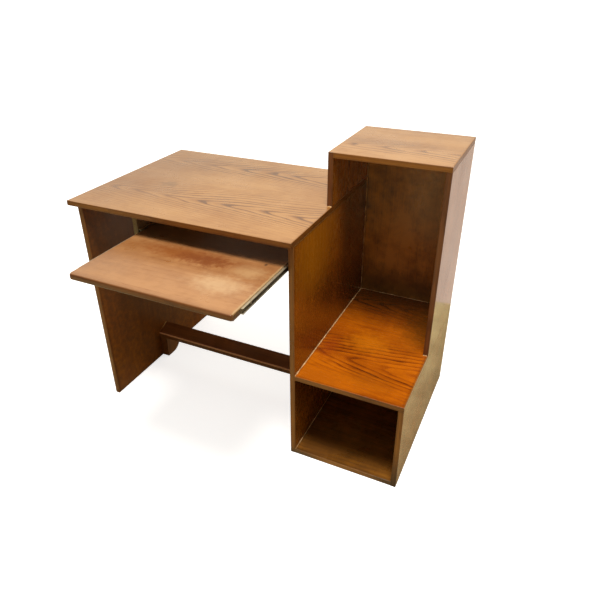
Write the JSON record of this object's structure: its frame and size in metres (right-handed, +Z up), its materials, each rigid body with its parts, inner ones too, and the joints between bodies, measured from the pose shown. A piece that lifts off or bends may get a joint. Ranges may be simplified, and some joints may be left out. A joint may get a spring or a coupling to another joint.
{
  "type": "computer desk with keyboard tray",
  "caption": "Wooden computer desk with a pull-out keyboard tray on ball-bearing slides, a footrest bar and an open shelf tower on its right.",
  "frame": {"origin": "centre of the footprint on the floor, with the keyboard tray pulled out as at rest", "axes": "+X to the right along the desktop's front edge, towards the shelf tower; +Y from the user's side to the wall; +Z up"},
  "size_m": [1.098, 0.862, 0.912],
  "materials": {
    "top_veneer": "tan oak-grained veneer under worn clear lacquer",
    "panel_veneer": "red-brown stained veneer under gloss lacquer",
    "shelf_veneer": "orange-brown stained veneer under gloss lacquer",
    "tray_veneer": "worn tan veneer, lacquer rubbed thin",
    "lipping_wood": "dark stained solid lipping, satin lacquer",
    "back_ply": "brown stained thin plywood",
    "raw_ply": "bare plywood",
    "footrest_wood": "dark red-brown stained wood, satin",
    "beech_dowel": "bare beech",
    "slide_steel": "dulled zinc-plated steel",
    "cage_steel": "zinc-plated steel with bearing balls",
    "zinc_screw": "zinc-plated steel"
  },
  "bodies": {
    "desk": {"back_rail": "panel_veneer", "base_lipping": "lipping_wood", "base_panel": "shelf_veneer", "desktop_front_lipping": "lipping_wood", "desktop_left_lipping": "lipping_wood", "desktop_panel": "top_veneer", "desktop_right_lipping": "lipping_wood", "dowel_left_side_1": "beech_dowel", "dowel_left_side_2": "beech_dowel", "dowel_lower_right_1": "beech_dowel", "dowel_lower_right_2": "beech_dowel", "dowel_partition_1": "beech_dowel", "dowel_partition_2": "beech_dowel", "dowel_top_left_1": "beech_dowel", "dowel_top_left_2": "beech_dowel", "dowel_top_right_1": "beech_dowel", "dowel_top_right_2": "beech_dowel", "dowel_upper_left_1": "beech_dowel", "dowel_upper_left_2": "beech_dowel", "dowel_upper_right_1": "beech_dowel", "dowel_upper_right_2": "beech_dowel", "footrest_board": "footrest_wood", "footrest_left_bracket": "footrest_wood", "footrest_right_bracket": "footrest_wood", "hanger_board": "raw_ply", "hanger_cleat": "raw_ply", "left_cabinet_member": "slide_steel", "left_cabinet_screw_1": "zinc_screw", "left_cabinet_screw_2": "zinc_screw", "left_side_lipping": "lipping_wood", "left_side_panel": "panel_veneer", "lower_right_lipping": "lipping_wood", "lower_right_panel": "panel_veneer", "partition_lipping": "lipping_wood", "partition_panel": "panel_veneer", "right_cabinet_member": "slide_steel", "right_cabinet_screw_1": "zinc_screw", "right_cabinet_screw_2": "zinc_screw", "shelf_front_lipping": "lipping_wood", "shelf_panel": "shelf_veneer", "shelf_right_lipping": "lipping_wood", "tower_back_panel": "back_ply", "tower_top_front_lipping": "lipping_wood", "tower_top_panel": "top_veneer", "tower_top_right_lipping": "lipping_wood", "upper_left_lipping": "lipping_wood", "upper_left_panel": "panel_veneer", "upper_right_lipping": "lipping_wood", "upper_right_panel": "panel_veneer"},
    "tray": {"keyboard_tray_lipping": "lipping_wood", "keyboard_tray_panel": "tray_veneer", "left_drawer_member": "slide_steel", "left_drawer_screw_1": "zinc_screw", "left_drawer_screw_2": "zinc_screw", "right_drawer_member": "slide_steel", "right_drawer_screw_1": "zinc_screw", "right_drawer_screw_2": "zinc_screw"},
    "left_cage": {"left_ball_cage": "cage_steel"},
    "right_cage": {"right_ball_cage": "cage_steel"}
  },
  "joints": [
    {"name": "tray_slide", "type": "slide", "parent": "desk", "child": "tray", "axis": [0, 1, 0], "range_m": [0, 0.263]},
    {"name": "left_cage_slide", "type": "slide", "parent": "desk", "child": "left_cage", "axis": [0, 1, 0], "range_m": [0, 0.1315]},
    {"name": "right_cage_slide", "type": "slide", "parent": "desk", "child": "right_cage", "axis": [0, 1, 0], "range_m": [0, 0.1315]}
  ],
  "couplings": [
    {"joint": "left_cage_slide", "follows": "tray_slide", "ratio": 0.5},
    {"joint": "right_cage_slide", "follows": "tray_slide", "ratio": 0.5}
  ]
}
